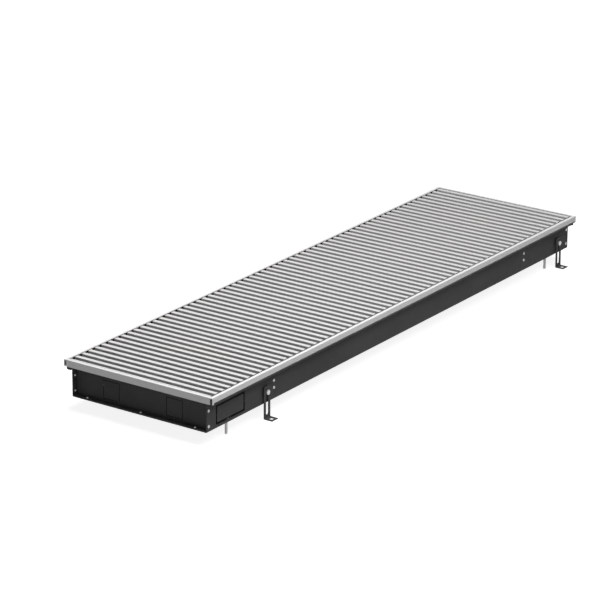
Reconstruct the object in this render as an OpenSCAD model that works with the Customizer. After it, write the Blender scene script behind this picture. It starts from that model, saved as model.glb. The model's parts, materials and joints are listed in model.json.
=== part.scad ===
// Trench convector heater: a sheet-steel casing that stands in a floor duct on slotted brackets and
// levelling screws, an aluminium edge frame, a roll-up grille of cross bars, and a finned copper
// heat exchanger with its two pipe connections at the near end.
// The origin is on the raw floor under the middle of the casing. +X runs along the casing, away
// from the pipe end (the near end), -Y is the front wall and +Z is up.

/* [Casing] */
// Length of the sheet-steel casing
casing_len = 1410.5; // [1100:0.5:2000]
// Width over the long walls
casing_w = 345; // [320:0.5:420]
// Height from the casing's underside to the top of its flanges
casing_h = 65; // [62:0.5:90]
// Height of the casing's underside over the raw floor
ground_gap = 32; // [28:0.5:36]
// Thickness of the casing's sheet
sheet_t = 1.2; // [1:0.1:1.5]
// Outer radius of the bends in the sheet
bend_r = 2; // [1.8:0.1:2.5]
// How far the long flanges reach out from the walls
flange_reach = 13.9; // [12:0.1:20]
// Height of the lip turned down at the edge of a long flange
lip_h = 5; // [4.5:0.1:7]
// Radius at the ends of a lip
lip_end_r = 3.5; // [1:0.1:3.5]
// Height of the tab turned down at each end of a long flange
end_tab_h = 8; // [6:0.1:10]
// Radius at the lower corners of an end tab
end_tab_r = 3; // [1:0.1:3.5]
// Depth by which an end panel is set back into the casing
end_recess = 14; // [12:0.5:16]

/* [Knockouts] */
// Distance of the wall knockout from the near end of the casing
wall_ko_from_end = 30.6; // [20:0.1:50]
// Length of the wall knockout
wall_ko_len = 98.7; // [40:0.1:110]
// Height of the wall knockout
wall_ko_h = 42.7; // [20:0.1:43]
// Width of the slit round the wall knockout
wall_ko_slit = 4.5; // [1:0.1:5]
// Width of each knockout in the near end panel
end_ko_w = 42; // [20:0.5:60]
// Height of each knockout in the near end panel
end_ko_h = 41.5; // [20:0.5:43]
// Distance between the middles of the two end knockouts
end_ko_spacing = 162; // [80:1:200]
// Width of the slit round an end knockout
end_ko_slit = 1.5; // [0.8:0.1:3]
// Height of all knockouts over the casing's underside
ko_bottom = 7.5; // [5:0.5:10]
// Width of the small bridges that hold a knockout
ko_bridge = 1; // [0.8:0.1:3]

/* [Frame] */
// Height of the frame's top over the casing's flanges
frame_h = 15; // [14:0.1:22]
// Thickness of the frame profile's legs
rail_t = 1.6; // [1.2:0.1:1.8]
// Thickness of the frame profile's top
rail_top_t = 1.8; // [1.2:0.1:2.2]
// Width of the frame's visible top
rail_top_w = 7; // [6.5:0.1:9]
// Width of the shelf that carries the grille, from the web's outer face
shelf_w = 16.6; // [15.5:0.1:18]
// How far the skirt hangs below the casing's flanges
skirt_drop = 0; // [0:0.1:1]
// Gap between a long flange's lip and the frame's skirt
lip_to_skirt = 2; // [0.5:0.1:4]
// Gap between the casing's end and the skirt of a short rail
end_to_skirt = 3.15; // [0.5:0.05:5]
// Length by which a long rail's skirt stops short of the corner
long_skirt_back = 0.3; // [0:0.1:5]
// Length by which a short rail's skirt stops short of the corner
short_skirt_back = 6.4; // [0:0.1:8]
// Radius on the frame's outer top edge
rail_edge_r = 0.5; // [0.2:0.1:1]
// Length of each leg of a corner key
key_leg = 28; // [15:1:40]
// Number of screws along each long rail
frame_screw_count = 5; // [2:1:8]
// Thickness of the damping strips under the bar ends
strip_t = 1.4; // [1:0.1:2]
// Thickness of the damping strips' upright leg beside the bar ends
strip_leg_t = 2.2; // [0.8:0.1:2.5]
// Distance of the upright leg's top from the frame's top
strip_leg_down = 1.5; // [1:0.1:6]

/* [Grille] */
// Width of a grille bar
bar_w = 10; // [6:0.1:14]
// Distance from bar to bar
bar_pitch = 21.8; // [18:0.1:30]
// Wall thickness of a hollow grille bar
bar_wall = 1.3; // [0.8:0.1:1.5]
// Radius on the upper edges of the bars
bar_edge_r = 0.8; // [0.2:0.1:1.2]
// Width of the narrow end bar
end_bar_w = 4.5; // [4:0.1:8]
// Gap between the end bar and the frame
grille_end_clear = 1; // [0.8:0.1:3]
// Gap between the bar ends and the frame
bar_end_clear = 3.5; // [3:0.1:5]
// Radius of the core springs that string the bars together
core_r = 1.5; // [1:0.1:1.8]
// Height of the core springs over the bars' underside
core_lift = 3.5; // [3.5:0.1:4.5]
// Distance of each row of core springs from the middle
core_y = 120; // [60:1:140]
// Outer radius of the spacer sleeves between the bars
sleeve_r = 3; // [2.5:0.1:3.2]

/* [Heat exchanger] */
// Width of the fins
fin_w = 170; // [130:1:200]
// Height of the fins
fin_h = 50; // [40:0.5:52]
// Thickness of a fin
fin_t = 0.5; // [0.4:0.1:1]
// Distance from fin to fin
fin_pitch = 10.5; // [5:0.5:14]
// Wall thickness of the collars that a fin grips the tubes with
collar_t = 0.5; // [0.4:0.1:1]
// Gap between the fins and the casing's floor
fin_floor_gap = 6.8; // [3:0.1:7]
// Outer radius of the copper tubes
tube_r = 7.5; // [6:0.1:8]
// Wall thickness of the copper tubes
tube_wall = 0.8; // [0.6:0.1:1.5]
// Distance between the two columns of tubes
tube_column_pitch = 88; // [60:1:100]
// Distance between the two layers of tubes
tube_layer_pitch = 25; // [24:0.5:28]
// Thickness of the grommets round the tubes in a support
grommet_wall = 2; // [1:0.1:3]
// How far the tubes reach past the far support, where the return bends start
tube_reach = 14; // [6:0.5:20]
// Distance of the near support's screws from the near end of the casing
support_near_from_end = 231.7; // [220:0.1:300]
// Distance of the far support's screws from the far end of the casing
support_far_from_end = 196; // [160:0.1:300]
// Height of the lower support screws over the casing's underside
support_screw_z = 25.2; // [20:0.1:26]
// Distance between the two screws of a pair
support_screw_dz = 15.8; // [12:0.1:18]
// Length of the tab that a support is screwed on by
support_tab_len = 16; // [12:0.5:20]
// Distance of the headers from the near support
header_from_support = 52.3; // [40:0.1:60]
// Outer radius of the two headers
header_r = 12; // [11:0.1:14]
// Wall thickness of the headers
header_wall = 2.5; // [1.5:0.1:3]
// Radius of the half-inch connection threads
connection_r = 9.3; // [9:0.1:9.5]
// Depth of the connection threads
connection_depth = 14; // [10:0.5:16]
// Wall thickness round the connection threads
connection_wall = 4; // [2:0.5:5]

/* [Floor brackets] */
// Distance of the near brackets from the near end of the casing
bracket_near_from_end = 201.5; // [180:0.5:205]
// Distance of the far brackets from the far end of the casing
bracket_far_from_end = 48; // [40:0.5:60]
// Width of a bracket
bracket_w = 22; // [16:0.5:30]
// Thickness of a bracket
bracket_t = 1.5; // [1.2:0.1:2.5]
// Height of a bracket over the raw floor
bracket_h = 71; // [66:0.5:71]
// How far a bracket's foot reaches out from the casing's wall
foot_reach = 25; // [22:0.5:40]
// Width of the slot in a bracket
slot_w = 8.4; // [7:0.1:9]
// Height of the slot's lower end over the raw floor
slot_bottom = 8; // [6:0.5:12]
// Distance of the slot's upper end from the bracket's top
slot_top_margin = 8; // [6:0.5:10]
// Radius of the hole in a bracket's foot
foot_hole_r = 4.3; // [2.5:0.1:5]
// Distance of the foot's hole from the casing's wall
foot_hole_from_wall = 15.8; // [14:0.1:17]
// Height of the bracket bolts over the casing's underside
bracket_bolt_z = 25.7; // [24:0.1:27]

/* [Levelling screws] */
// Distance of the levelling screws from the casing's ends
level_from_end = 81.5; // [60:0.5:100]
// Distance of the levelling screws from the walls' outer faces
level_from_wall = 12; // [9:0.5:14]
// Length of a levelling screw with its tip
level_len = 50; // [46:0.5:55]
// Length of the rounded thrust tip at its lower end
level_tip_len = 4; // [3:0.5:6]
// Across-flats size of the hexagon socket in its upper end
level_socket_af = 3; // [2:0.1:3.5]
// Radius of the rivet nuts' barrels
level_nut_r = 4.5; // [4:0.1:5]
// Length of the rivet nuts' barrels
level_nut_h = 11; // [9:0.5:13]

/* [Fasteners] */
// Radius of a six-millimetre thread
m6_r = 2.95; // [2.9:0.01:2.98]
// Across-flats size of the hexagon heads and nuts
hex_af = 10; // [9:0.1:11]
// Height of a bolt's hexagon head
bolt_head_h = 3.6; // [3:0.1:5]
// Height of the hexagon nuts
nut_h = 3.2; // [3:0.1:6]
// Radius of the rivets' shanks
rivet_r = 2; // [1.5:0.1:2.4]
// Radius of the rivets' heads
rivet_head_r = 3.4; // [3:0.1:4]
// Height of the rivets' heads
rivet_head_h = 1.5; // [1:0.1:2]
// Radius of the mandrel's hollow in a rivet's head
rivet_hollow_r = 1.1; // [0.6:0.1:1.3]
// Distance of the rivets from the casing's ends
rivet_from_end = 6.7; // [6:0.1:9]
// Height of the lower wall rivets over the casing's underside
rivet_low_z = 12; // [9:0.5:14]
// Height of the upper wall rivets over the casing's underside
rivet_high_z = 46; // [35:0.5:48]
// Distance of the outer floor rivets from the middle
rivet_floor_y = 138.5; // [100:0.5:145]
// Radius of the thread-forming screws' shanks
screw_r = 1.95; // [1.5:0.05:2.2]
// Radius of the thread-forming screws' heads
screw_head_r = 3.4; // [3:0.1:3.6]
// Height of the button heads
screw_head_h = 2; // [1.5:0.1:2.5]
// Across-flats size of the hexagon sockets in the button heads
screw_socket_af = 3; // [2:0.1:3.5]
// Length of the frame screws under the rails' shelves
frame_screw_len = 9; // [6:0.5:12]
// How far the support screws reach past the supports
support_screw_reach = 5; // [2:0.5:8]

/* [Hidden] */
$fn = 48;
// Radial clearance of a shank in its hole, and of a thread in its nut
fit = 0.05;
// Clearance of the core springs in bars and sleeves
core_clear = 0.2;
// Gap on each side of a bracket between nut and bolt head
clamp_clear = 0.1;
// Clearance round a corner key in its channel
key_clear = 0.25;
// Length that cuts run past a face
past = 1;
// Number of grille pieces that roll up one by one, the end bar among them
roll_count = 8;
both = [-1, 1];

half_len = casing_len / 2;
half_w = casing_w / 2;
bend_in = bend_r - sheet_t;
casing_z = ground_gap;
floor_z = casing_z + sheet_t;
flange_z = casing_z + casing_h;
flange_y = half_w + flange_reach;
wall_in = half_w - sheet_t;
ko_z = casing_z + ko_bottom;
end_tab_relief = 0.6;

frame_top = flange_z + frame_h;
frame_half_w = flange_y + lip_to_skirt + rail_t;
frame_half_len = half_len + end_to_skirt + rail_t;
shelf_z = flange_z + rail_t;
shelf_in = rail_top_w - rail_t + shelf_w;
frame_screw_web_gap = 0.5;
frame_screw_d = rail_top_w + screw_head_r + frame_screw_web_gap;
frame_screw_end = 105;
strip_edge = 0.8;
strip_end_gap = 0.5;
inner_half_len = frame_half_len - rail_top_w;
inner_half_w = frame_half_w - rail_top_w;

bar_z = shelf_z + strip_t;
bar_h = frame_top - bar_z;
bar_half = inner_half_w - bar_end_clear;
bar_gap = bar_pitch - bar_w;
end_bar_x = -inner_half_len + grille_end_clear;
first_bar_x = end_bar_x + end_bar_w + bar_gap;
bar_count = floor((inner_half_len - grille_end_clear - end_bar_x - end_bar_w) / bar_pitch);
core_z = bar_z + core_lift;

support_screw_x = [-half_len + support_near_from_end, half_len - support_far_from_end];
support_screw_zs = [casing_z + support_screw_z, casing_z + support_screw_z + support_screw_dz];
support_web_x = [support_screw_x[0] + support_tab_len / 2, support_screw_x[1] - support_tab_len / 2];
support_tab_margin = 5;
fin_z = floor_z + fin_floor_gap;
fin_end_gap = 4;
fin_x0 = support_web_x[0] + fin_end_gap;
fin_count = floor((support_web_x[1] - fin_end_gap - fin_x0) / fin_pitch);
collar_gap = 0.3;
tube_ys = [-tube_column_pitch / 2, tube_column_pitch / 2];
tube_zs = [fin_z + fin_h / 2 - tube_layer_pitch / 2, fin_z + fin_h / 2 + tube_layer_pitch / 2];
header_x = support_web_x[0] - header_from_support;
header_cap = 9;
header_z = [tube_zs[0] - header_cap, tube_zs[1] + header_cap];
connection_stop = 1;
connection_step = 3;
connection_x = header_x - header_r - connection_depth - connection_stop;
connection_z = fin_z + fin_h / 2;
tube_entry = 3;
tube_x = [header_x + header_r - header_wall - tube_entry, support_web_x[1] + tube_reach];
grommet_r = tube_r + grommet_wall;
grommet_lip = 1.5;
grommet_lip_t = 1.2;
vent_r = 4;
vent_af = 12;
vent_h = 5;
vent_seat = 1.5;
vent_screw_r = 2;
vent_head_r = 3.2;
vent_head_h = 2.2;
vent_head_gap = 0.3;
vent_slot_w = 0.8;
vent_slot_h = 1;

bracket_x = [-half_len + bracket_near_from_end, half_len - bracket_far_from_end];
bracket_in = half_w + nut_h + clamp_clear;
bracket_out = bracket_in + bracket_t;
bracket_bend = 1.5;
bolt_z = casing_z + bracket_bolt_z;
slot_top = bracket_h - slot_top_margin;
bolt_end_past_nut = 2;
bolt_end = wall_in - nut_h - bolt_end_past_nut;
hex_chamfer = 0.8;

level_x = half_len - level_from_end;
level_y = half_w - level_from_wall;
level_nut_flange_w = 2;
level_nut_flange_h = 1;
level_nut_bulge_w = 1;
level_nut_bulge_h = 2.5;
level_socket_h = 4;

rivet_x = half_len - rivet_from_end;
rivet_zs = [casing_z + rivet_low_z, casing_z + rivet_high_z];
rivet_floor_ys = [-rivet_floor_y, 0, rivet_floor_y];
rivet_tail_h = 2.2;
rivet_tail_w = 0.6;
rivet_hollow_h = 0.9;

black_steel = [0.17, 0.17, 0.18];
silver = [0.80, 0.80, 0.81];
zinc = [0.68, 0.69, 0.70];
copper = [0.78, 0.45, 0.30];
brass = [0.78, 0.66, 0.38];
fin_grey = [0.62, 0.63, 0.65];
dark_rubber = [0.08, 0.08, 0.08];

// A box between its lowest and its highest corner
module box_between(low, high) {
    translate(low) cube(high - low);
}

module both_y() {
    children();
    mirror([0, 1, 0]) children();
}

module both_x() {
    children();
    mirror([1, 0, 0]) children();
}

// A round rod along X from x0 to x1
module rod_x(x0, x1, y, z, r) {
    translate([x0, y, z]) rotate([0, 90, 0]) cylinder(h = x1 - x0, r = r);
}

// A round rod along Y from y0 to y1
module rod_y(x, y0, y1, z, r) {
    translate([x, y1, z]) rotate([90, 0, 0]) cylinder(h = y1 - y0, r = r);
}

// A round rod along Z from z0 to z1
module rod_z(x, y, z0, z1, r) {
    translate([x, y, z0]) cylinder(h = z1 - z0, r = r);
}

// Runs a section drawn in Y and Z along X
module along_x(x0, x1) {
    translate([x0, 0, 0]) rotate([90, 0, 90]) linear_extrude(x1 - x0) children();
}

// A domed head of radius r and height h on the plane z = 0
module dome(r, h) {
    ball_r = (r * r + h * h) / (2 * h);
    intersection() {
        translate([0, 0, h - ball_r]) sphere(r = ball_r);
        cylinder(h = h + past, r = r);
    }
}

module hexagon(af, h) {
    cylinder(h = h, d = af / cos(30), $fn = 6);
}

// A hexagon whose corners are turned off at its upper end
module chamfered_hexagon(af, h) {
    corner_r = af / cos(30) / 2;
    intersection() {
        hexagon(af, h);
        union() {
            cylinder(h = h - hex_chamfer, r = corner_r + past);
            translate([0, 0, h - hex_chamfer])
                cylinder(h = hex_chamfer, r1 = corner_r, r2 = corner_r - 2 * hex_chamfer);
        }
    }
}

// A rectangle between two corners whose chosen corners are rounded
module round_rect(low, high, r, bottom, top) {
    y0 = low[0];
    z0 = low[1];
    y1 = high[0];
    z1 = high[1];
    translate([y0, z0 + (bottom ? r : 0)])
        square([y1 - y0, z1 - z0 - (bottom ? r : 0) - (top ? r : 0)]);
    translate([y0 + r, z0]) square([y1 - y0 - 2 * r, z1 - z0]);
    if (bottom) for (y = [y0 + r, y1 - r]) translate([y, z0 + r]) circle(r = r);
    if (top) for (y = [y0 + r, y1 - r]) translate([y, z1 - r]) circle(r = r);
}

// Half of the folded section, drawn for the side where Y is positive
module flange_section() {
    difference() {
        round_rect([wall_in, flange_z - lip_h], [flange_y, flange_z], bend_r, false, true);
        round_rect([half_w, flange_z - lip_h - past], [flange_y - sheet_t, flange_z - sheet_t],
            bend_in, false, true);
    }
}

module tray_section() {
    wall_top = flange_z - lip_h + past;
    difference() {
        round_rect([-half_w, casing_z], [half_w, wall_top], bend_r, true, false);
        round_rect([-wall_in, floor_z], [wall_in, wall_top + past], bend_in, true, false);
    }
    flange_section();
    mirror([1, 0]) flange_section();
}

// The slit round a knockout, centred on its own middle, less the bridges that hold the piece
module knockout_slit(w, h, slit) {
    difference() {
        square([w, h], center = true);
        square([w - 2 * slit, h - 2 * slit], center = true);
        square([w + past, ko_bridge], center = true);
        translate([-ko_bridge / 2, -h / 2 - past]) square([ko_bridge, h / 2]);
    }
}

module lip_end_cut() {
    difference() {
        box_between([half_len - lip_end_r, half_w + past, flange_z - lip_h - past],
            [half_len + past, flange_y + past, flange_z - lip_h + lip_end_r]);
        rod_y(half_len - lip_end_r, half_w, flange_y + 2 * past, flange_z - lip_h + lip_end_r, lip_end_r);
    }
}

// The section of an end tab, which hangs from the end of a long flange
module end_tab_section() {
    y0 = half_w + end_tab_relief;
    round_rect([y0, flange_z - 2 * bend_r], [flange_y, flange_z], bend_r, false, true);
    round_rect([y0, flange_z - end_tab_h], [flange_y, flange_z - bend_r], end_tab_r, true, false);
}

module wall_rivet_holes() {
    for (sx = both, z = rivet_zs)
        rod_y(sx * rivet_x, -half_w - past, half_w + past, z, rivet_r + fit);
}

module floor_rivet_holes() {
    for (sx = both, y = rivet_floor_ys)
        rod_z(sx * rivet_x, y, casing_z - past, floor_z + sheet_t + past, rivet_r + fit);
}

module support_screw_holes() {
    for (x = support_screw_x, z = support_screw_zs)
        rod_y(x, -half_w - past, half_w + past, z, screw_r + fit);
}

module trench_tray() {
    color(black_steel) both_x() both_y() along_x(half_len - sheet_t, half_len) end_tab_section();
    color(black_steel) difference() {
        along_x(-half_len, half_len) tray_section();
        both_x() both_y() lip_end_cut();
        translate([-half_len + wall_ko_from_end + wall_ko_len / 2, -wall_in + past, ko_z + wall_ko_h / 2])
            rotate([90, 0, 0])
                linear_extrude(sheet_t + 2 * past) knockout_slit(wall_ko_len, wall_ko_h, wall_ko_slit);
        wall_rivet_holes();
        floor_rivet_holes();
        support_screw_holes();
        for (x = bracket_x) rod_y(x, -half_w - past, half_w + past, bolt_z, m6_r + fit);
        both_x() both_y()
            rod_z(level_x, level_y, casing_z - past, floor_z + past, level_nut_r + fit);
        for (i = [0:frame_screw_count - 1], sy = both)
            rod_z(frame_screw_x(i), sy * (frame_half_w - frame_screw_d),
                flange_z - sheet_t - past, flange_z + past, screw_r + fit);
    }
}

// An end panel, a shallow pan whose four flanges point outward, drawn for the far end
module end_pan() {
    x0 = half_len - end_recess - sheet_t;
    difference() {
        union() {
            box_between([x0, -wall_in, floor_z], [x0 + sheet_t, wall_in, flange_z]);
            box_between([x0, -wall_in + bend_in, floor_z], [half_len, wall_in - bend_in, floor_z + sheet_t]);
            box_between([x0, -wall_in + bend_r, flange_z - sheet_t], [half_len, wall_in - bend_r, flange_z]);
            both_y() box_between([x0, wall_in - sheet_t, floor_z + bend_in],
                [half_len, wall_in, flange_z - bend_r]);
        }
        both_y() box_between([x0 - past, wall_in - bend_r, flange_z - bend_r],
            [half_len + past, wall_in + past, flange_z + past]);
        both_y() box_between([x0 - past, wall_in - bend_in, floor_z - past],
            [half_len + past, wall_in + past, floor_z + bend_in]);
        wall_rivet_holes();
        floor_rivet_holes();
    }
}

module end_panel_far() {
    color(black_steel) end_pan();
}

module end_panel_near() {
    color(black_steel) difference() {
        mirror([1, 0, 0]) end_pan();
        for (sy = both)
            translate([-half_len + end_recess - past, sy * end_ko_spacing / 2, ko_z + end_ko_h / 2])
                rotate([90, 0, 90])
                    linear_extrude(sheet_t + 2 * past) knockout_slit(end_ko_w, end_ko_h, end_ko_slit);
    }
}

// A blind rivet through two sheets, its head outside on z = 0 and its tail inside below
module rivet() {
    difference() {
        dome(rivet_head_r, rivet_head_h);
        translate([0, 0, rivet_head_h - rivet_hollow_h]) cylinder(h = rivet_head_h, r = rivet_hollow_r);
    }
    translate([0, 0, -2 * sheet_t]) cylinder(h = 2 * sheet_t, r = rivet_r);
    translate([0, 0, -2 * sheet_t]) mirror([0, 0, 1]) dome(rivet_r + rivet_tail_w, rivet_tail_h);
}

module end_panel_rivets() {
    color(zinc) both_x() {
        both_y() for (z = rivet_zs) translate([rivet_x, half_w, z]) rotate([-90, 0, 0]) rivet();
        for (y = rivet_floor_ys) translate([rivet_x, y, casing_z]) mirror([0, 0, 1]) rivet();
    }
}

// The frame's section: distance inward from the skirt's outer face, and height
module rail_section() {
    translate([0, flange_z - skirt_drop]) square([rail_t, frame_h + skirt_drop - rail_edge_r]);
    translate([rail_edge_r, frame_top - rail_top_t]) square([rail_top_w - rail_edge_r, rail_top_t]);
    translate([0, frame_top - rail_top_t]) square([rail_t, rail_top_t - rail_edge_r]);
    translate([rail_edge_r, frame_top - rail_edge_r]) circle(r = rail_edge_r);
    translate([rail_top_w - rail_t, flange_z]) square([rail_t, frame_h]);
    translate([rail_top_w - rail_t, flange_z]) square([shelf_w, rail_t]);
}

// A rail along X with its outer face on y = 0 and its ends mitred
module rail(len, skirt_back) {
    difference() {
        along_x(-len / 2, len / 2) rail_section();
        both_x() {
            translate([len / 2, 0, flange_z - 2 * past]) linear_extrude(frame_h + 4 * past)
                polygon([[past, -past], [past, shelf_in + past], [-shelf_in - past, shelf_in + past]]);
            box_between([len / 2 - skirt_back, -past, flange_z - 2 * past],
                [len / 2 + past, rail_t, frame_top - rail_top_t]);
        }
    }
}

function frame_screw_x(i) =
    (half_len - frame_screw_end) * (2 * i / (frame_screw_count - 1) - 1);

module countersunk(clear) {
    translate([0, 0, -frame_screw_len]) cylinder(h = frame_screw_len, r = screw_r + clear);
    translate([0, 0, -rail_t]) cylinder(h = rail_t, r1 = screw_r + clear, r2 = screw_head_r + clear);
}

module long_rail() {
    color(silver) difference() {
        translate([0, -frame_half_w, 0]) rail(2 * frame_half_len, long_skirt_back);
        for (i = [0:frame_screw_count - 1])
            translate([frame_screw_x(i), frame_screw_d - frame_half_w, shelf_z]) countersunk(fit);
    }
}

module short_rail() {
    color(silver) translate([-frame_half_len, 0, 0]) rotate([0, 0, -90])
        rail(2 * frame_half_w, short_skirt_back);
}

module frame_rail_front() {
    long_rail();
}

module frame_rail_rear() {
    mirror([0, 1, 0]) long_rail();
}

module frame_rail_near() {
    short_rail();
}

module frame_rail_far() {
    mirror([1, 0, 0]) short_rail();
}

module frame_corner_keys() {
    low = rail_t + key_clear;
    high = rail_top_w - rail_t - key_clear;
    z0 = flange_z + key_clear;
    z1 = frame_top - rail_top_t - key_clear;
    color(dark_rubber) both_x() both_y() translate([-frame_half_len, -frame_half_w, 0]) {
        box_between([low, low, z0], [low + key_leg, high, z1]);
        box_between([low, low, z0], [high, low + key_leg, z1]);
    }
}

module frame_screws() {
    color(zinc) both_y() for (i = [0:frame_screw_count - 1])
        translate([frame_screw_x(i), frame_screw_d - frame_half_w, shelf_z]) countersunk(0);
}

// An angled strip on a long rail's shelf and inner face, which keeps the bars from rattling
module damping_strip_front() {
    x = inner_half_len - strip_end_gap;
    color(dark_rubber) {
        box_between([-x, -inner_half_w, shelf_z],
            [x, -frame_half_w + shelf_in - strip_edge, shelf_z + strip_t]);
        box_between([-x, -inner_half_w, shelf_z],
            [x, -inner_half_w + strip_leg_t, frame_top - strip_leg_down]);
    }
}

module damping_strip_rear() {
    mirror([0, 1, 0]) damping_strip_front();
}

// A support across the casing, its web facing the fins and its tabs on the long walls
module exchanger_support(screw_x, web_x) {
    side = web_x > screw_x ? -1 : 1;
    tab_x = screw_x + side * support_tab_len / 2;
    x0 = min(web_x, web_x + side * sheet_t);
    z0 = support_screw_zs[0] - support_tab_margin;
    z1 = support_screw_zs[1] + support_tab_margin;
    plate_margin = 2;
    color(black_steel) difference() {
        union() {
            box_between([x0, -wall_in, z0], [x0 + sheet_t, wall_in, z1]);
            box_between([x0, -fin_w / 2, fin_z - plate_margin],
                [x0 + sheet_t, fin_w / 2, fin_z + fin_h + plate_margin]);
            both_y() box_between([min(tab_x, web_x), wall_in - sheet_t, z0],
                [max(tab_x, web_x), wall_in, z1]);
        }
        support_screw_holes();
        for (y = tube_ys, z = tube_zs) rod_x(x0 - past, x0 + sheet_t + past, y, z, grommet_r + fit);
    }
}

module exchanger_support_near() {
    exchanger_support(support_screw_x[0], support_web_x[0]);
}

module exchanger_support_far() {
    exchanger_support(support_screw_x[1], support_web_x[1]);
}

// A button-head screw whose head sits on z = 0
module button_screw(len) {
    socket_floor = screw_head_h / 3;
    difference() {
        dome(screw_head_r, screw_head_h);
        translate([0, 0, socket_floor]) hexagon(screw_socket_af, screw_head_h);
    }
    translate([0, 0, -len]) cylinder(h = len, r = screw_r);
}

module support_screws() {
    color(zinc) both_y() for (x = support_screw_x, z = support_screw_zs)
        translate([x, half_w, z]) rotate([-90, 0, 0])
            button_screw(2 * sheet_t + support_screw_reach);
}

// A grommet through a support, its lip on the side away from the fins
module grommet(face_x, side) {
    x0 = min(face_x, face_x - side * sheet_t);
    lip_x = min(face_x, face_x + side * grommet_lip_t);
    rod_x(x0, x0 + sheet_t, 0, 0, grommet_r);
    rod_x(lip_x, lip_x + grommet_lip_t, 0, 0, grommet_r + grommet_lip);
}

module tube_grommets() {
    color(dark_rubber) for (i = [0, 1], y = tube_ys, z = tube_zs) {
        side = i == 0 ? -1 : 1;
        face_x = support_web_x[i] + side * sheet_t;
        difference() {
            translate([0, y, z]) grommet(face_x, side);
            rod_x(face_x - 2 * sheet_t, face_x + 2 * sheet_t, y, z, tube_r + fit);
        }
    }
}

module exchanger_tubes() {
    color(copper) for (y = tube_ys, z = tube_zs) difference() {
        rod_x(tube_x[0], tube_x[1], y, z, tube_r);
        rod_x(tube_x[0] - past, tube_x[1] + past, y, z, tube_r - tube_wall);
    }
}

module return_bends() {
    color(copper) for (z = tube_zs) translate([tube_x[1], 0, z]) rotate([0, 0, -90])
        rotate_extrude(angle = 180) translate([tube_column_pitch / 2, 0]) difference() {
            circle(r = tube_r);
            circle(r = tube_r - tube_wall);
        }
}

// A fin at x with its collars, which reach along the tubes to the next fin
module fin(x) {
    next_x = x + fin_pitch - collar_gap;
    difference() {
        union() {
            box_between([x, -fin_w / 2, fin_z], [x + fin_t, fin_w / 2, fin_z + fin_h]);
            for (y = tube_ys, z = tube_zs) rod_x(x, next_x, y, z, tube_r + fit + collar_t);
        }
        for (y = tube_ys, z = tube_zs) rod_x(x - past, next_x + past, y, z, tube_r + fit);
    }
}

module exchanger_fins() {
    color(fin_grey) for (i = [0:fin_count - 1]) fin(fin_x0 + i * fin_pitch);
}

// A closed header with a threaded connection that faces the near end
module header(y) {
    difference() {
        union() {
            rod_z(header_x, y, header_z[0], header_z[1], header_r);
            rod_x(connection_x, header_x, y, connection_z, connection_r + connection_wall);
        }
        rod_z(header_x, y, header_z[0] + header_wall, header_z[1] - header_wall, header_r - header_wall);
        rod_x(connection_x - past, connection_x + connection_depth, y, connection_z, connection_r);
        rod_x(connection_x, header_x, y, connection_z, connection_r - connection_step);
        for (z = tube_zs) rod_x(header_x, header_x + header_r + past, y, z, tube_r + fit);
    }
}

module supply_header() {
    color(brass) header(tube_ys[0]);
}

module return_header() {
    color(brass) difference() {
        header(tube_ys[1]);
        rod_z(header_x, tube_ys[1], header_z[1] - header_wall - past, header_z[1] + past, vent_r + fit);
    }
}

module air_vent_body() {
    stem_z = header_z[1] - header_wall;
    color(brass) translate([header_x, tube_ys[1], 0]) difference() {
        union() {
            rod_z(0, 0, stem_z, header_z[1] + past, vent_r);
            translate([0, 0, header_z[1]]) chamfered_hexagon(vent_af, vent_h);
        }
        rod_z(0, 0, stem_z + vent_seat, header_z[1] + vent_h + past, vent_screw_r + fit);
    }
}

module air_vent_screw() {
    head_z = header_z[1] + vent_h + vent_head_gap;
    top = head_z + vent_head_h;
    color(zinc) translate([header_x, tube_ys[1], 0]) difference() {
        union() {
            rod_z(0, 0, header_z[1], top, vent_screw_r);
            rod_z(0, 0, head_z, top, vent_head_r);
        }
        box_between([-vent_head_r - past, -vent_slot_w / 2, top - vent_slot_h],
            [vent_head_r + past, vent_slot_w / 2, top + past]);
    }
}

module bracket_bolts() {
    color(zinc) both_y() for (x = bracket_x)
        translate([x, bracket_out + clamp_clear, bolt_z]) rotate([-90, 0, 0]) {
            chamfered_hexagon(hex_af, bolt_head_h);
            translate([0, 0, bolt_end - bracket_out - clamp_clear])
                cylinder(h = bracket_out + clamp_clear - bolt_end, r = m6_r);
        }
}

module hex_nut() {
    difference() {
        chamfered_hexagon(hex_af, nut_h);
        translate([0, 0, -past]) cylinder(h = nut_h + 2 * past, r = m6_r + fit);
    }
}

module bracket_outer_nuts() {
    color(zinc) both_y() for (x = bracket_x)
        translate([x, half_w, bolt_z]) rotate([-90, 0, 0]) hex_nut();
}

module bracket_inner_nuts() {
    color(zinc) both_y() for (x = bracket_x)
        translate([x, wall_in, bolt_z]) rotate([90, 0, 0]) hex_nut();
}

// A rivet nut in the casing's floor, its flange below and its barrel inside
module levelling_nuts() {
    color(zinc) both_x() both_y() difference() {
        union() {
            rod_z(level_x, level_y, casing_z - level_nut_flange_h, casing_z,
                level_nut_r + level_nut_flange_w);
            rod_z(level_x, level_y, casing_z - level_nut_flange_h, casing_z + level_nut_h, level_nut_r);
            rod_z(level_x, level_y, floor_z, floor_z + level_nut_bulge_h,
                level_nut_r + level_nut_bulge_w);
        }
        rod_z(level_x, level_y, casing_z - 2 * past, casing_z + level_nut_h + past, m6_r + fit);
    }
}

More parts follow.
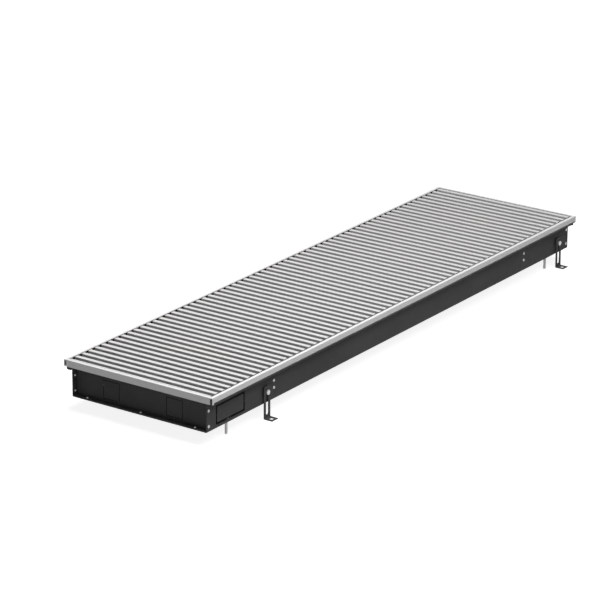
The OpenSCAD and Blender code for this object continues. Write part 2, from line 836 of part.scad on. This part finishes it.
// A bracket's angled section with a rounded bend: distance from the middle, and height
module bracket_section() {
    bend_out = bracket_bend + bracket_t;
    difference() {
        translate([bracket_in, 0]) union() {
            translate([0, bend_out]) square([bracket_t, bracket_h - bend_out]);
            translate([bend_out, 0]) square([half_w + foot_reach - bracket_in - bend_out, bracket_t]);
            translate([bend_out, bend_out]) intersection() {
                circle(r = bend_out);
                translate([-bend_out, -bend_out]) square(bend_out);
            }
        }
        translate([bracket_in + bend_out, bend_out]) circle(r = bracket_bend);
    }
}

module floor_bracket() {
    color(black_steel) difference() {
        along_x(-bracket_w / 2, bracket_w / 2) bracket_section();
        for (z = [slot_bottom + slot_w / 2, slot_top - slot_w / 2])
            rod_y(0, bracket_in - past, bracket_out + past, z, slot_w / 2);
        box_between([-slot_w / 2, bracket_in - past, slot_bottom + slot_w / 2],
            [slot_w / 2, bracket_out + past, slot_top - slot_w / 2]);
        rod_z(0, half_w + foot_hole_from_wall, -past, bracket_t + past, foot_hole_r);
    }
}

module bracket_at(i, sy) {
    translate([bracket_x[i], 0, 0]) mirror([0, sy < 0 ? 1 : 0, 0]) floor_bracket();
}

module levelling_screw(sx, sy) {
    color(zinc) difference() {
        rod_z(sx * level_x, sy * level_y, level_tip_len, level_len, m6_r);
        translate([sx * level_x, sy * level_y, level_len - level_socket_h])
            hexagon(level_socket_af, level_socket_h + past);
    }
}

module levelling_tip(sx, sy) {
    color(zinc) translate([sx * level_x, sy * level_y, level_tip_len]) mirror([0, 0, 1]) {
        cylinder(h = level_tip_len / 2, r = m6_r);
        translate([0, 0, level_tip_len / 2]) dome(m6_r, level_tip_len / 2);
    }
}

// A bar across the grille from x, hollow where its width leaves room
module grille_bar(x, w) {
    inner_w = w - 2 * bar_wall;
    difference() {
        translate([x, bar_half, bar_z]) rotate([90, 0, 0]) linear_extrude(2 * bar_half) difference() {
            union() {
                square([w, bar_h - bar_edge_r]);
                translate([bar_edge_r, 0]) square([w - 2 * bar_edge_r, bar_h]);
                for (c = [bar_edge_r, w - bar_edge_r])
                    translate([c, bar_h - bar_edge_r]) circle(r = bar_edge_r);
            }
            if (inner_w > 2 * bar_wall)
                translate([bar_wall, bar_wall]) square([inner_w, bar_h - 2 * bar_wall]);
        }
        for (sy = both) rod_x(x - past, x + w + past, sy * core_y, core_z, core_r + core_clear);
    }
}

// The two sleeves from a bar's far face to the next bar
module sleeves(x) {
    for (sy = both) difference() {
        rod_x(x, x + bar_gap, sy * core_y, core_z, sleeve_r);
        rod_x(x - past, x + bar_gap + past, sy * core_y, core_z, core_r + core_clear);
    }
}

function bar_x(i) = i == 0 ? end_bar_x : first_bar_x + (i - 1) * bar_pitch;
function width_of(i) = i == 0 ? end_bar_w : bar_w;

module grille_bars() {
    color(silver) for (i = [roll_count:bar_count]) grille_bar(bar_x(i), bar_w);
}

module grille_sleeves() {
    color(dark_rubber) for (i = [roll_count:bar_count - 1]) sleeves(bar_x(i) + bar_w);
}

module grille_core_springs() {
    color(zinc) for (sy = both)
        rod_x(bar_x(roll_count), bar_x(bar_count) + bar_w, sy * core_y, core_z, core_r);
}

module roll_bar(k) {
    color(silver) grille_bar(bar_x(k - 1), width_of(k - 1));
}

// What links one rolling bar to the next: two sleeves and the lengths of core spring in them
module roll_links(k) {
    x = bar_x(k - 1);
    color(dark_rubber) {
        sleeves(x + width_of(k - 1));
        for (sy = both) rod_x(x, x + width_of(k - 1) + bar_gap, sy * core_y, core_z, core_r);
    }
}

trench_tray();
end_panel_near();
end_panel_far();
end_panel_rivets();
frame_rail_front();
frame_rail_rear();
frame_rail_near();
frame_rail_far();
frame_corner_keys();
frame_screws();
damping_strip_front();
damping_strip_rear();
exchanger_support_near();
exchanger_support_far();
support_screws();
tube_grommets();
exchanger_tubes();
return_bends();
exchanger_fins();
supply_header();
return_header();
air_vent_body();
air_vent_screw();
bracket_bolts();
bracket_outer_nuts();
bracket_inner_nuts();
levelling_nuts();
bracket_at(0, -1);  // floor_bracket_near_front
bracket_at(0, 1);  // floor_bracket_near_rear
bracket_at(1, -1);  // floor_bracket_far_front
bracket_at(1, 1);  // floor_bracket_far_rear
levelling_screw(-1, -1);  // levelling_screw_near_front
levelling_screw(-1, 1);  // levelling_screw_near_rear
levelling_screw(1, -1);  // levelling_screw_far_front
levelling_screw(1, 1);  // levelling_screw_far_rear
levelling_tip(-1, -1);  // levelling_tip_near_front
levelling_tip(-1, 1);  // levelling_tip_near_rear
levelling_tip(1, -1);  // levelling_tip_far_front
levelling_tip(1, 1);  // levelling_tip_far_rear
grille_bars();
grille_sleeves();
grille_core_springs();
for (k = [1:roll_count]) {
    roll_bar(k);
    roll_links(k);
}
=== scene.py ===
# Dresses the trench convector heater: finishes on the CAD pieces, and detailed pieces for the
# threads, the spacer sleeves and the core springs of the roll-up grille.
import json
import math
import bmesh
import bpy
from mathutils import Matrix, Vector


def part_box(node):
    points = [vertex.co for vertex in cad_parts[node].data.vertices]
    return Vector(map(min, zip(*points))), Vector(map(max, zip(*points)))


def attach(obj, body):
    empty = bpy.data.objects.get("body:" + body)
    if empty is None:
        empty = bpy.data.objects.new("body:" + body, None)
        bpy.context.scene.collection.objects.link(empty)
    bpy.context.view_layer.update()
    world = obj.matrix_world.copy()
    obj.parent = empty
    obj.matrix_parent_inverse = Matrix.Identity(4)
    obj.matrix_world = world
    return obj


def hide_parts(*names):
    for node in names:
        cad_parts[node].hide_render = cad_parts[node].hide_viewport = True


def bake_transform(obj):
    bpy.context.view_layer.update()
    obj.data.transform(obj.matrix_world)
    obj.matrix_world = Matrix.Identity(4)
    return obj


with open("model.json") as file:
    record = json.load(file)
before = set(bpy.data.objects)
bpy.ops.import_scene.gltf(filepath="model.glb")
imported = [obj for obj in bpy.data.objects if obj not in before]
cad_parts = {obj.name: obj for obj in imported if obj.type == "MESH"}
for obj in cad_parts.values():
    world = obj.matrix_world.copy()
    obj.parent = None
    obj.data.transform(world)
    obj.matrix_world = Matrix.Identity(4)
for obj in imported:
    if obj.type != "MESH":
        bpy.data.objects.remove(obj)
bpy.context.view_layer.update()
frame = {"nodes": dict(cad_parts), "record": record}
nodes = frame["nodes"]
MM = 0.001
CORNERS = [f"{end}_{side}" for end in ("near", "far") for side in ("front", "rear")]
ROLLS = range(1, 9)

# Camera, fitted to the corners of the frame and casing in the photograph
IMAGE_SIZE = 600
FOCAL_PIXELS = 3312.2054
SENSOR = 36.0
AZIMUTH = math.radians(-55.0066)
ELEVATION = math.radians(19.8966)
ROLL = math.radians(0.2603)
DISTANCE = 7.28031
SHIFT_RIGHT = -0.07737
SHIFT_UP = 0.03827
AIM_HEIGHT = 0.032

# Light: the sky's level for everything but camera and mirror rays, and the floor as it is seen
SKY_LIGHT = 0.05
FLOOR_SHADOW = 0.6
FLOOR_GLOW = 0.875

# Rooms as half length, half width, lowest and highest height, which get a painted shade, a flat near-black
# colour
# standing in for the shade there: the inside of the casing, and the shelves of the short rails, which lie in
# the dark under the grille
INNER_SHADE_ROOM = (0.6911, 0.17235, 0.0322, 1.0)
SHELF_SHADE_ROOM = (0.7045, 1.0, 0.0, 0.1005)
INNER_PAINTED_SHADE = 0.014
SHELF_PAINTED_SHADE = 0.02

BARS_PER_METRE = 45.87


def make_camera():
    back = Vector((math.sin(AZIMUTH) * math.cos(ELEVATION), -math.cos(AZIMUTH) * math.cos(ELEVATION),
                   math.sin(ELEVATION)))
    level_right = Vector((math.cos(AZIMUTH), math.sin(AZIMUTH), 0))
    level_up = back.cross(level_right)
    right = level_right * math.cos(ROLL) + level_up * math.sin(ROLL)
    up = level_up * math.cos(ROLL) - level_right * math.sin(ROLL)
    place = Vector((0, 0, AIM_HEIGHT)) + back * DISTANCE + right * SHIFT_RIGHT + up * SHIFT_UP
    data = bpy.data.cameras.new("camera")
    data.sensor_width = SENSOR
    data.lens = FOCAL_PIXELS / IMAGE_SIZE * SENSOR
    data.clip_start, data.clip_end = 0.1, 100
    camera = bpy.data.objects.new("camera", data)
    camera.matrix_world = Matrix((right, up, back)).transposed().to_4x4()
    camera.matrix_world.translation = place
    bpy.context.scene.collection.objects.link(camera)
    bpy.context.scene.camera = camera


class Material:
    """A material under construction; its methods add nodes and return their output sockets."""

    def __init__(self, name):
        self.data = bpy.data.materials.new(name)
        self.data.use_nodes = True
        self.nodes = self.data.node_tree.nodes
        self.nodes.clear()
        self.links = self.data.node_tree.links
        self.output = self.nodes.new("ShaderNodeOutputMaterial")

    def add(self, kind, inputs, output=0, **settings):
        made = self.nodes.new("ShaderNode" + kind)
        for key, value in settings.items():
            setattr(made, key, value)
        for key, value in inputs.items():
            if isinstance(value, bpy.types.NodeSocket):
                self.links.new(value, made.inputs[key])
            else:
                made.inputs[key].default_value = value
        return made.outputs[output]

    def place(self, scale):
        """Object coordinates in metres, times a factor on each axis."""
        position = self.add("TexCoord", {}, "Object")
        return self.add("Mapping", {"Vector": position, "Scale": scale})

    def noise(self, scale, detail=2, roughness=0.5, distortion=0.0):
        return self.add("TexNoise", {"Vector": self.place(scale), "Scale": 1.0, "Detail": detail,
                                     "Roughness": roughness, "Distortion": distortion}, "Fac")

    def spread(self, factor, low, high, start=0.0, end=1.0):
        """Factor from start to end becomes a number from low to high."""
        return self.add("MapRange", {"Value": factor, "From Min": start, "From Max": end,
                                     "To Min": low, "To Max": high})

    def math(self, operation, a, b=0.0):
        return self.add("Math", {0: a, 1: b}, operation=operation)

    def within(self, room):
        """One inside a room given as half length, half width, lowest and highest height, else zero."""
        position = self.place((1, 1, 1))
        x, y, z = (self.add("SeparateXYZ", {0: position}, axis) for axis in "XYZ")
        length, width, low, high = room
        level = self.math("MULTIPLY", self.math("LESS_THAN", self.math("ABSOLUTE", x), length),
                          self.math("LESS_THAN", self.math("ABSOLUTE", y), width))
        height = self.math("MULTIPLY", self.math("GREATER_THAN", z, low), self.math("LESS_THAN", z, high))
        return self.math("MULTIPLY", level, height)

    def blend(self, factor, a, b, mode="MIX"):
        made = self.nodes.new("ShaderNodeMix")
        made.data_type = "RGBA"
        made.blend_type = mode
        for index, value in ((0, factor), (6, a), (7, b)):
            if isinstance(value, bpy.types.NodeSocket):
                self.links.new(value, made.inputs[index])
            else:
                made.inputs[index].default_value = value
        return made.outputs[2]

    def bump(self, height, distance, below=None):
        inputs = {"Height": height, "Distance": distance, "Strength": 1.0}
        if below is not None:
            inputs["Normal"] = below
        return self.add("Bump", inputs)

    def surface(self, **inputs):
        names = {"color": "Base Color", "roughness": "Roughness", "metallic": "Metallic",
                 "normal": "Normal", "specular": "Specular IOR Level"}
        shader = self.add("BsdfPrincipled", {names[key]: value for key, value in inputs.items()})
        self.links.new(shader, self.output.inputs["Surface"])
        return self.data


def grey(value, warm=0.0):
    return (value * (1 + warm), value, value * (1 - warm), 1.0)


def powder_coat():
    m = Material("black_powder_coat")
    cloud = m.noise((9, 9, 14), 3)
    speck = m.noise((2600, 2600, 2600), 1)
    color = m.blend(m.spread(cloud, 0, 1, 0.3, 0.7), grey(0.104), grey(0.121, 0.01))
    color = m.blend(m.spread(speck, 0, 0.5, 0.62, 0.8), color, grey(0.15, 0.01))
    # Painted shade: the coat inside the casing is made near-black to stand in for the shade that falls there
    color = m.blend(m.within(INNER_SHADE_ROOM), color, grey(INNER_PAINTED_SHADE))
    peel = m.noise((520, 520, 520), 2, 0.55)
    grain = m.noise((1900, 1900, 1900), 2, 0.6)
    normal = m.bump(grain, 0.000008, m.bump(peel, 0.00004))
    rough = m.spread(m.noise((60, 60, 60), 3), 0.47, 0.6, 0.3, 0.7)
    return m.surface(color=color, roughness=rough, specular=0.04, normal=normal)


def anodised(name, along, low, high):
    """Drawn aluminium whose lines run along an axis, with a slight change of tone from bar to bar."""
    m = Material(name)
    fine = [1400, 1400, 1400]
    coarse = [260, 260, 260]
    fine[along] = 7
    coarse[along] = 1.5
    lines = m.noise(fine, 3, 0.6)
    bands = m.noise(coarse, 2, 0.5)
    bar_place = m.add("SeparateXYZ", {0: m.place((BARS_PER_METRE, 1, 1))}, "X")
    bar = m.add("TexWhiteNoise", {"W": m.math("FLOOR", bar_place)}, "Value", noise_dimensions="1D")
    tone = m.math("ADD", m.spread(lines, -0.028, 0.028, 0.25, 0.75), m.spread(bands, -0.012, 0.012, 0.3, 0.7))
    if along == 1:
        tone = m.math("ADD", tone, m.spread(bar, -0.012, 0.012))
    level = m.math("ADD", tone, 0.5)
    color = m.blend(level, grey(low, 0.004), grey(high, 0.004))
    # Painted shade: aluminium low inside the frame, such as the shelves of the short rails under the grille,
    # is made near-black
    color = m.blend(m.within(SHELF_SHADE_ROOM), color, grey(SHELF_PAINTED_SHADE))
    rough = m.spread(m.math("ADD", lines, bands), 0.36, 0.5, 0.6, 1.4)
    normal = m.bump(lines, 0.000006, m.bump(m.noise((900, 900, 900), 1), 0.000003))
    return m.surface(color=color, roughness=rough, metallic=0.08, specular=0.22, normal=normal)


def zinc():
    m = Material("zinc_plate")
    mottle = m.noise((420, 420, 420), 4, 0.6)
    tint = m.noise((90, 90, 90), 2)
    color = m.blend(m.spread(mottle, 0, 1, 0.3, 0.7), grey(0.66, -0.005), grey(0.82, 0.0))
    color = m.blend(m.spread(tint, 0, 0.35, 0.45, 0.7), color, (0.62, 0.60, 0.50, 1))
    scratch = m.noise((3000, 500, 500), 2, 0.7, 0.4)
    rough = m.spread(mottle, 0.24, 0.42, 0.3, 0.7)
    normal = m.bump(scratch, 0.000006, m.bump(mottle, 0.00001))
    return m.surface(color=color, roughness=rough, metallic=0.4, normal=normal)


def moulded_plastic():
    m = Material("black_plastic")
    cloud = m.noise((150, 150, 150), 2)
    color = m.blend(m.spread(cloud, 0, 1, 0.3, 0.7), grey(0.020), grey(0.032, 0.02))
    grain = m.noise((2400, 2400, 2400), 3, 0.6)
    rough = m.spread(grain, 0.42, 0.6, 0.3, 0.7)
    return m.surface(color=color, roughness=rough, specular=0.4, normal=m.bump(grain, 0.00002))


def rubber():
    m = Material("black_rubber")
    lines = m.noise((6, 1300, 1300), 3, 0.6)
    dust = m.noise((35, 220, 220), 4, 0.6)
    color = m.blend(m.spread(dust, 0, 0.6, 0.5, 0.75), grey(0.008), grey(0.020, 0.03))
    rough = m.spread(lines, 0.72, 0.88, 0.3, 0.7)
    return m.surface(color=color, roughness=rough, specular=0.05, normal=m.bump(lines, 0.00002))


def copper():
    m = Material("copper_tube")
    tarnish = m.noise((45, 120, 120), 5, 0.6, 0.6)
    drawn = m.noise((10, 1500, 1500), 2, 0.6)
    color = m.blend(m.spread(tarnish, 0, 1, 0.42, 0.68), (0.78, 0.40, 0.25, 1), (0.42, 0.19, 0.11, 1))
    color = m.blend(m.spread(drawn, 0, 0.25, 0.3, 0.7), color, (0.86, 0.52, 0.36, 1))
    rough = m.spread(tarnish, 0.24, 0.5, 0.35, 0.7)
    return m.surface(color=color, roughness=rough, metallic=0.95, normal=m.bump(drawn, 0.000006))


def fin_sheet():
    m = Material("fin_aluminium")
    rolled = m.noise((500, 12, 1500), 3, 0.6)
    haze = m.noise((70, 30, 60), 3, 0.55)
    color = m.blend(m.spread(rolled, 0, 1, 0.3, 0.7), grey(0.55, -0.005), grey(0.68, 0.0))
    color = m.blend(m.spread(haze, 0, 0.4, 0.5, 0.75), color, grey(0.44, 0.02))
    rough = m.spread(haze, 0.3, 0.48, 0.3, 0.7)
    ripple = m.add("TexWave", {"Vector": m.place((1, 1, 1)), "Scale": 95.0, "Distortion": 0.6,
                               "Detail": 1.0}, "Fac", bands_direction="Y")
    return m.surface(color=color, roughness=rough, metallic=0.85,
                     normal=m.bump(ripple, 0.00025, m.bump(rolled, 0.000006)))


def brass():
    m = Material("machined_brass")
    stain = m.noise((70, 70, 70), 4, 0.6, 0.5)
    color = m.blend(m.spread(stain, 0, 1, 0.35, 0.7), (0.74, 0.58, 0.29, 1), (0.48, 0.34, 0.15, 1))
    turned = m.add("TexWave", {"Vector": m.place((1, 1, 1)), "Scale": 900.0, "Distortion": 1.5,
                               "Detail": 2.0}, "Fac", bands_direction="Z")
    rough = m.spread(stain, 0.24, 0.44, 0.3, 0.7)
    return m.surface(color=color, roughness=rough, metallic=0.95, normal=m.bump(turned, 0.000008))


FINISHES = {
    "black_steel": powder_coat(), "zinc_steel": zinc(), "black_plastic": moulded_plastic(),
    "black_rubber": rubber(), "copper": copper(), "fin_aluminium": fin_sheet(), "brass": brass(),
    "anodised_aluminium": anodised("anodised_bars", 1, 0.65, 0.80),
}
# One anodised aluminium in two tones: the short rails, whose skirts face the dim end, are darker as painted
# shade, and the long rails are lighter as painted light
LONG_RAIL_LIT_FINISH = anodised("anodised_long_rails_lit", 0, 0.78, 0.94)
SHORT_RAIL_SHADED_FINISH = anodised("anodised_short_rails_shaded", 1, 0.74, 0.90)
RAIL_FINISHES = {
    "frame_rail_front": LONG_RAIL_LIT_FINISH, "frame_rail_rear": LONG_RAIL_LIT_FINISH,
    "frame_rail_near": SHORT_RAIL_SHADED_FINISH, "frame_rail_far": SHORT_RAIL_SHADED_FINISH,
}


def weld_group():
    """Geometry nodes that join the split corners of a CAD mesh, so that a bevel can follow them."""
    group = bpy.data.node_groups.new("weld_corners", "GeometryNodeTree")
    group.interface.new_socket("Geometry", in_out="INPUT", socket_type="NodeSocketGeometry")
    group.interface.new_socket("Geometry", in_out="OUTPUT", socket_type="NodeSocketGeometry")
    start = group.nodes.new("NodeGroupInput")
    merge = group.nodes.new("GeometryNodeMergeByDistance")
    merge.inputs["Distance"].default_value = 0.000002
    drop = group.nodes.new("GeometryNodeRemoveAttribute")
    drop.inputs["Name"].default_value = "custom_normal"
    smooth = group.nodes.new("GeometryNodeSetShadeSmooth")
    end = group.nodes.new("NodeGroupOutput")
    chain = [start, merge, drop, smooth, end]
    for a, b in zip(chain, chain[1:]):
        group.links.new(a.outputs[0], b.inputs[0])
    return group


WELD = weld_group()
EDGE_WIDTHS = {
    "trench_tray": 0.2, "end_panel_near": 0.2, "end_panel_far": 0.2,
    "exchanger_support_near": 0.25, "exchanger_support_far": 0.25,
    "frame_rail_front": 0.2, "frame_rail_rear": 0.2, "frame_rail_near": 0.2, "frame_rail_far": 0.2,
    "frame_corner_keys": 0.4, "damping_strip_front": 0.3, "damping_strip_rear": 0.3,
    "bracket_outer_nuts": 0.15, "bracket_inner_nuts": 0.15,
    "air_vent_body": 0.15, "air_vent_screw": 0.15, "supply_header": 0.5, "return_header": 0.5,
    "grille_bars": 0.15, **{f"roll_bar_{k}": 0.15 for k in ROLLS},
    **{f"floor_bracket_{corner}": 0.35 for corner in CORNERS},
}


def soften_edges(node, width):
    obj = nodes[node]
    weld = obj.modifiers.new("weld", "NODES")
    weld.node_group = WELD
    flat = obj.modifiers.new("flat", "DECIMATE")
    flat.decimate_type = "DISSOLVE"
    flat.angle_limit = math.radians(0.6)
    bevel = obj.modifiers.new("edges", "BEVEL")
    bevel.width = width * MM
    bevel.segments = 2
    bevel.limit_method = "ANGLE"
    bevel.angle_limit = math.radians(40)
    bevel.harden_normals = True


def finish_nodes():
    owner = {s["node"]: s["material_slot"] for s in frame["record"]["subparts"]}
    for name, obj in nodes.items():
        finish = RAIL_FINISHES.get(name, FINISHES[owner[name]])
        for i in range(len(obj.data.materials)):
            obj.data.materials[i] = finish
    for name, width in EDGE_WIDTHS.items():
        soften_edges(name, width)


class Solid:
    """Vertices and faces of a new piece, in metres."""

    def __init__(self):
        self.points = []
        self.faces = []

    def add(self, points, faces, place=Matrix()):
        first = len(self.points)
        self.points += [place @ Vector(p) for p in points]
        self.faces += [[first + i for i in face] for face in faces]

    def rings(self, rings, place=Matrix(), loop=False):
        """A skin over rings of equal length, closed with end caps or, as a loop, onto itself."""
        count = len(rings[0])
        faces = []
        pairs = len(rings) if loop else len(rings) - 1
        for a in range(pairs):
            b = (a + 1) % len(rings)
            for i in range(count):
                j = (i + 1) % count
                faces.append([a * count + i, a * count + j, b * count + j, b * count + i])
        if not loop:
            faces.append(list(range(count))[::-1])
            faces.append([(len(rings) - 1) * count + i for i in range(count)])
        self.add([p for ring in rings for p in ring], faces, place)

    def piece(self, name, slot, body, sharp=35):
        mesh = bpy.data.meshes.new(name)
        mesh.from_pydata(self.points, [], self.faces)
        build = bmesh.new()
        build.from_mesh(mesh)
        bmesh.ops.recalc_face_normals(build, faces=build.faces)
        for face in build.faces:
            face.smooth = True
        for edge in build.edges:
            edge.smooth = edge.calc_face_angle(0) < math.radians(sharp)
        build.to_mesh(mesh)
        build.free()
        mesh.materials.append(FINISHES[slot])
        obj = bpy.data.objects.new(name, mesh)
        bpy.context.scene.collection.objects.link(obj)
        if body:
            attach(obj, body)
        return obj


def circle(radius, z, columns, shape=None):
    """A ring at height z; shape turns an angle into a radius instead."""
    ring = []
    for i in range(columns):
        angle = 2 * math.pi * i / columns
        r = shape(angle) if shape else radius
        ring.append((r * math.cos(angle), r * math.sin(angle), z(angle) if callable(z) else z))
    return ring


def hexagon(across_flats):
    """Radius of a hexagon at an angle, its corners on multiples of 60 degrees."""
    def radius(angle):
        return across_flats / 2 / math.cos((angle % (math.pi / 3)) - math.pi / 6)
    return radius


THREAD_PITCH = 1.0 * MM
THREAD_DEPTH = 0.5 * MM
THREAD_COLUMNS = 24
THREAD_STEPS = 8


def thread_rings(z0, z1, radius, chamfer):
    """Rings of a right-hand thread from z0 to z1 that runs out at both ends."""
    rings = []
    rows = round((z1 - z0) / THREAD_PITCH * THREAD_STEPS)
    for row in range(rows + 1):
        z = z0 + (z1 - z0) * row / rows
        end_room = min(z - z0, z1 - z) + chamfer
        ring = []
        for i in range(THREAD_COLUMNS):
            angle = 2 * math.pi * i / THREAD_COLUMNS
            phase = (z / THREAD_PITCH - angle / (2 * math.pi)) % 1
            crest = min(1.0, max(0.0, 1.8 * abs(2 * phase - 1) - 0.1))
            r = min(radius - THREAD_DEPTH * (1 - crest), radius - THREAD_DEPTH - chamfer + end_room)
            ring.append((r * math.cos(angle), r * math.sin(angle), z))
        rings.append(ring)
    return rings


def levelling_screws():
    """Threaded rods with a hexagon socket in the upper end."""
    socket_af, socket_depth = 3.0 * MM, 4.0 * MM
    for corner in CORNERS:
        node = f"levelling_screw_{corner}"
        low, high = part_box(node)
        radius = (high.x - low.x) / 2
        place = Matrix.Translation(((low.x + high.x) / 2, (low.y + high.y) / 2, 0))
        shape = hexagon(socket_af)
        rings = thread_rings(low.z, high.z, radius, 0.0)
        rings.append(circle(0, high.z, THREAD_COLUMNS, shape))
        rings.append(circle(0, high.z - socket_depth, THREAD_COLUMNS, shape))
        solid = Solid()
        solid.rings(rings, place)
        screw = solid.piece(f"threaded_{node}", "zinc_steel", f"screw_{corner}")
        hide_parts(node)


def bracket_bolts():
    """Hexagon bolts with chamfered heads and threaded shanks, one through each bracket."""
    low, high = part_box("bracket_bolts")
    across_flats, head, washer = 10 * MM, 3.6 * MM, 0.4 * MM
    radius = 2.95 * MM
    shank_end = 0.1661
    face = across_flats * 0.475
    shape = hexagon(across_flats)
    columns = 48
    solid = Solid()
    centre_z = (low.z + high.z) / 2
    corner = across_flats / math.cos(math.pi / 6) / 2
    for x in (low.x + corner, high.x - corner):
        for side in (-1, 1):
            y = side * high.y
            into = Vector((0, -side, 0))
            across = Vector((1, 0, 0))
            place = Matrix((across, into.cross(across), into)).transposed().to_4x4()
            place.translation = (x, y, centre_z)
            slope = math.tan(math.radians(30))
            solid.rings([
                circle(face * 0.72, 0.25 * MM, columns), circle(face * 0.78, 0, columns),
                circle(face, 0, columns),
                circle(0, lambda a: (shape(a) - face) * slope, columns, shape),
                circle(0, head - washer, columns, shape),
                circle(face, head - washer, columns), circle(face, head, columns),
            ], place)
            solid.rings(thread_rings(head, high.y - shank_end, radius, 0.2 * MM), place)
    bolts = solid.piece("threaded_bracket_bolts", "zinc_steel", "root")
    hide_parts("bracket_bolts")


def spring_rings(x0, x1, radius, wire):
    """A close-wound wire along X."""
    sides, steps, gap = 6, 12, 1.12
    pitch = 2 * wire * gap
    turns = (x1 - x0) / pitch
    count = round(turns * steps)
    middle = radius - wire
    rings = []
    for i in range(count + 1):
        angle = 2 * math.pi * i / steps
        x = x0 + wire + (x1 - x0 - 2 * wire) * i / count
        out = Vector((0, math.cos(angle), math.sin(angle)))
        centre = Vector((x, 0, 0)) + out * middle
        rings.append([centre + out * wire * math.cos(2 * math.pi * s / sides)
                      + Vector((1, 0, 0)) * wire * math.sin(2 * math.pi * s / sides) for s in range(sides)])
    return rings


def rolling_links():
    """Spacer sleeves that ride with a bar, and core springs that run from it to the next bar."""
    wire = 0.3 * MM
    for k in ROLLS:
        low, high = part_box(f"roll_links_{k}")
        bar_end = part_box(f"roll_bar_{k}")[1].x
        outer = (high.z - low.z) / 2
        inner, edge = 1.7 * MM, 0.35 * MM
        middle_z = (low.z + high.z) / 2
        core = 1.5 * MM
        sleeves = Solid()
        springs = Solid()
        length = high.x - bar_end
        sections = [(inner, edge), (inner + edge, 0), (outer - edge, 0), (outer, edge),
                    (outer, length - edge), (outer - edge, length), (inner + edge, length),
                    (inner, length - edge)]
        for side in (-1, 1):
            y = side * (high.y - outer)
            place = Matrix.Translation((bar_end, y, middle_z)) @ Matrix.Rotation(math.pi / 2, 4, "Y")
            sleeves.rings([circle(r, z, 32) for r, z in sections], place, loop=True)
            springs.rings(spring_rings(low.x + 1.6 * MM, high.x + 1.5 * MM, core, wire),
                          Matrix.Translation((0, y, middle_z)))
        sleeve = sleeves.piece(f"roll_sleeves_{k}", "black_plastic", f"roll_{k}")
        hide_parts(f"roll_links_{k}")
        spring = springs.piece(f"roll_spring_{k}", "zinc_steel", None, 60)
        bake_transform(spring)


def ray_is_seen(tree):
    """One where a camera, mirror or transmission ray meets the surface, and zero for light."""
    path = tree.nodes.new("ShaderNodeLightPath")
    seen = path.outputs["Is Camera Ray"]
    for name in ("Is Glossy Ray", "Is Transmission Ray"):
        either = tree.nodes.new("ShaderNodeMath")
        either.operation = "MAXIMUM"
        tree.links.new(seen, either.inputs[0])
        tree.links.new(path.outputs[name], either.inputs[1])
        seen = either.outputs[0]
    return seen


def make_floor():
    m = Material("pale_floor")
    plain = m.add("BsdfDiffuse", {"Color": m.blend(m.noise((40, 40, 40), 3), grey(0.30), grey(0.32))})
    shadowed = m.add("BsdfDiffuse", {"Color": grey(FLOOR_SHADOW)})
    glow = m.add("Emission", {"Color": grey(1.0), "Strength": FLOOR_GLOW})
    bright = m.add("AddShader", {0: shadowed, 1: glow})
    both = m.add("MixShader", {0: ray_is_seen(m.data.node_tree), 1: plain, 2: bright})
    m.links.new(both, m.output.inputs["Surface"])
    mesh = bpy.data.meshes.new("floor")
    size = 40
    mesh.from_pydata([(-size, -size, 0), (size, -size, 0), (size, size, 0), (-size, size, 0)], [],
                     [(0, 1, 2, 3)])
    mesh.materials.append(m.data)
    floor = bpy.data.objects.new("floor", mesh)
    floor.location.z = -0.0002
    bpy.context.scene.collection.objects.link(floor)


def make_world():
    world = bpy.data.worlds.new("studio")
    world.use_nodes = True
    tree = world.node_tree
    tree.nodes.clear()
    level = tree.nodes.new("ShaderNodeMapRange")
    level.inputs["To Min"].default_value = SKY_LIGHT
    level.inputs["To Max"].default_value = 1.0
    tree.links.new(ray_is_seen(tree), level.inputs["Value"])
    background = tree.nodes.new("ShaderNodeBackground")
    background.inputs["Color"].default_value = grey(1.0)
    tree.links.new(level.outputs[0], background.inputs["Strength"])
    output = tree.nodes.new("ShaderNodeOutputWorld")
    tree.links.new(background.outputs[0], output.inputs["Surface"])
    bpy.context.scene.world = world


def area_light(name, place, aim, size, watts):
    data = bpy.data.lights.new(name, "AREA")
    data.shape = "RECTANGLE"
    data.size, data.size_y = size
    data.energy = watts
    light = bpy.data.objects.new(name, data)
    light.location = place
    light.rotation_mode = "QUATERNION"
    light.rotation_quaternion = (Vector(aim) - Vector(place)).to_track_quat("-Z", "Y")
    bpy.context.scene.collection.objects.link(light)


def make_lights():
    area_light("overhead", (0.4, -0.3, 4.2), (-0.9, 0, 0.05), (1.4, 1.4), 87)
    area_light("overhead_near", (-0.6, -0.3, 1.7), (-0.6, 0, 0.05), (0.9, 1.2), 12)
    area_light("front", (-0.35, -1.75, 2.15), (-0.5, 0, 0.05), (1.1, 0.9), 15)
    area_light("low_side", (-2.6, -0.3, 0.3), (-0.7, 0, 0.06), (1.4, 0.5), 0.9)


make_camera()
make_world()
make_floor()
make_lights()
finish_nodes()
levelling_screws()
bracket_bolts()
rolling_links()
bpy.context.scene.view_settings.view_transform = "Standard"
